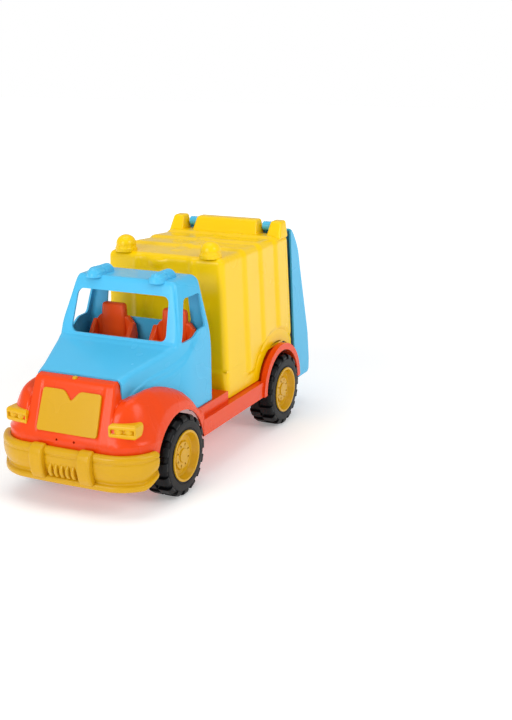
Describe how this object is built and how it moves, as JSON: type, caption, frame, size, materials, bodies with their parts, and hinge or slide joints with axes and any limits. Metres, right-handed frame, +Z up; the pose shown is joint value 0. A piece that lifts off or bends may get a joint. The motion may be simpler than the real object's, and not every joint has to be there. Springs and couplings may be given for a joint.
{
  "type": "toy refuse truck",
  "caption": "Moulded plastic toy refuse truck with bonneted cab, tipping load container, top-hinged tailgate and rolling wheelsets.",
  "frame": {"origin": "on the ground under the middle of the truck, halfway between the axles", "axes": "+X forward along the truck, +Y to the truck's left, +Z up"},
  "size_m": [0.5126, 0.212, 0.28],
  "materials": {
    "orange_plastic": "glossy injection-moulded plastic, orange-red",
    "sky_blue_plastic": "glossy injection-moulded plastic, sky blue",
    "golden_plastic": "glossy injection-moulded plastic, golden yellow",
    "seat_plastic": "glossy injection-moulded plastic, red-orange",
    "yellow_plastic": "glossy injection-moulded plastic, bright yellow",
    "steel": "plain steel rod and screws",
    "tyre_plastic": "semi-matt black soft plastic"
  },
  "bodies": {
    "truck": {"chassis": "orange_plastic", "cab": "sky_blue_plastic", "front_bumper": "golden_plastic", "grille_plate": "golden_plastic", "headlight_left": "golden_plastic", "headlight_right": "golden_plastic", "seat_unit": "seat_plastic", "tipping_pin": "steel", "body_screws": "steel"},
    "front_wheelset": {"axle_front": "steel", "tyre_front_left": "tyre_plastic", "tyre_front_right": "tyre_plastic", "rim_front_left": "golden_plastic", "rim_front_right": "golden_plastic"},
    "rear_wheelset": {"axle_rear": "steel", "tyre_rear_left": "tyre_plastic", "tyre_rear_right": "tyre_plastic", "rim_rear_left": "golden_plastic", "rim_rear_right": "golden_plastic"},
    "load_body": {"container": "yellow_plastic", "container_floor": "yellow_plastic", "floor_screws": "steel"},
    "tailgate_door": {"tailgate": "sky_blue_plastic"},
    "steering": {"steering_wheel": "seat_plastic"}
  },
  "joints": [
    {"name": "front_wheels_roll", "type": "hinge", "parent": "truck", "child": "front_wheelset", "pos_m": [0.1439, 0, 0.05], "axis": [0, 1, 0], "continuous": true},
    {"name": "rear_wheels_roll", "type": "hinge", "parent": "truck", "child": "rear_wheelset", "pos_m": [-0.1439, 0, 0.05], "axis": [0, 1, 0], "continuous": true},
    {"name": "container_tip", "type": "hinge", "parent": "truck", "child": "load_body", "pos_m": [-0.186, 0, 0.064], "axis": [0, -1, 0], "range_deg": [0, 40]},
    {"name": "tailgate_swing", "type": "hinge", "parent": "load_body", "child": "tailgate_door", "pos_m": [-0.189, 0, 0.2705], "axis": [0, 1, 0], "range_deg": [0, 100]},
    {"name": "steering_turn", "type": "hinge", "parent": "truck", "child": "steering", "pos_m": [0.084, 0.044, 0.161], "axis": [-0.5736, 0, 0.8192], "continuous": true}
  ]
}
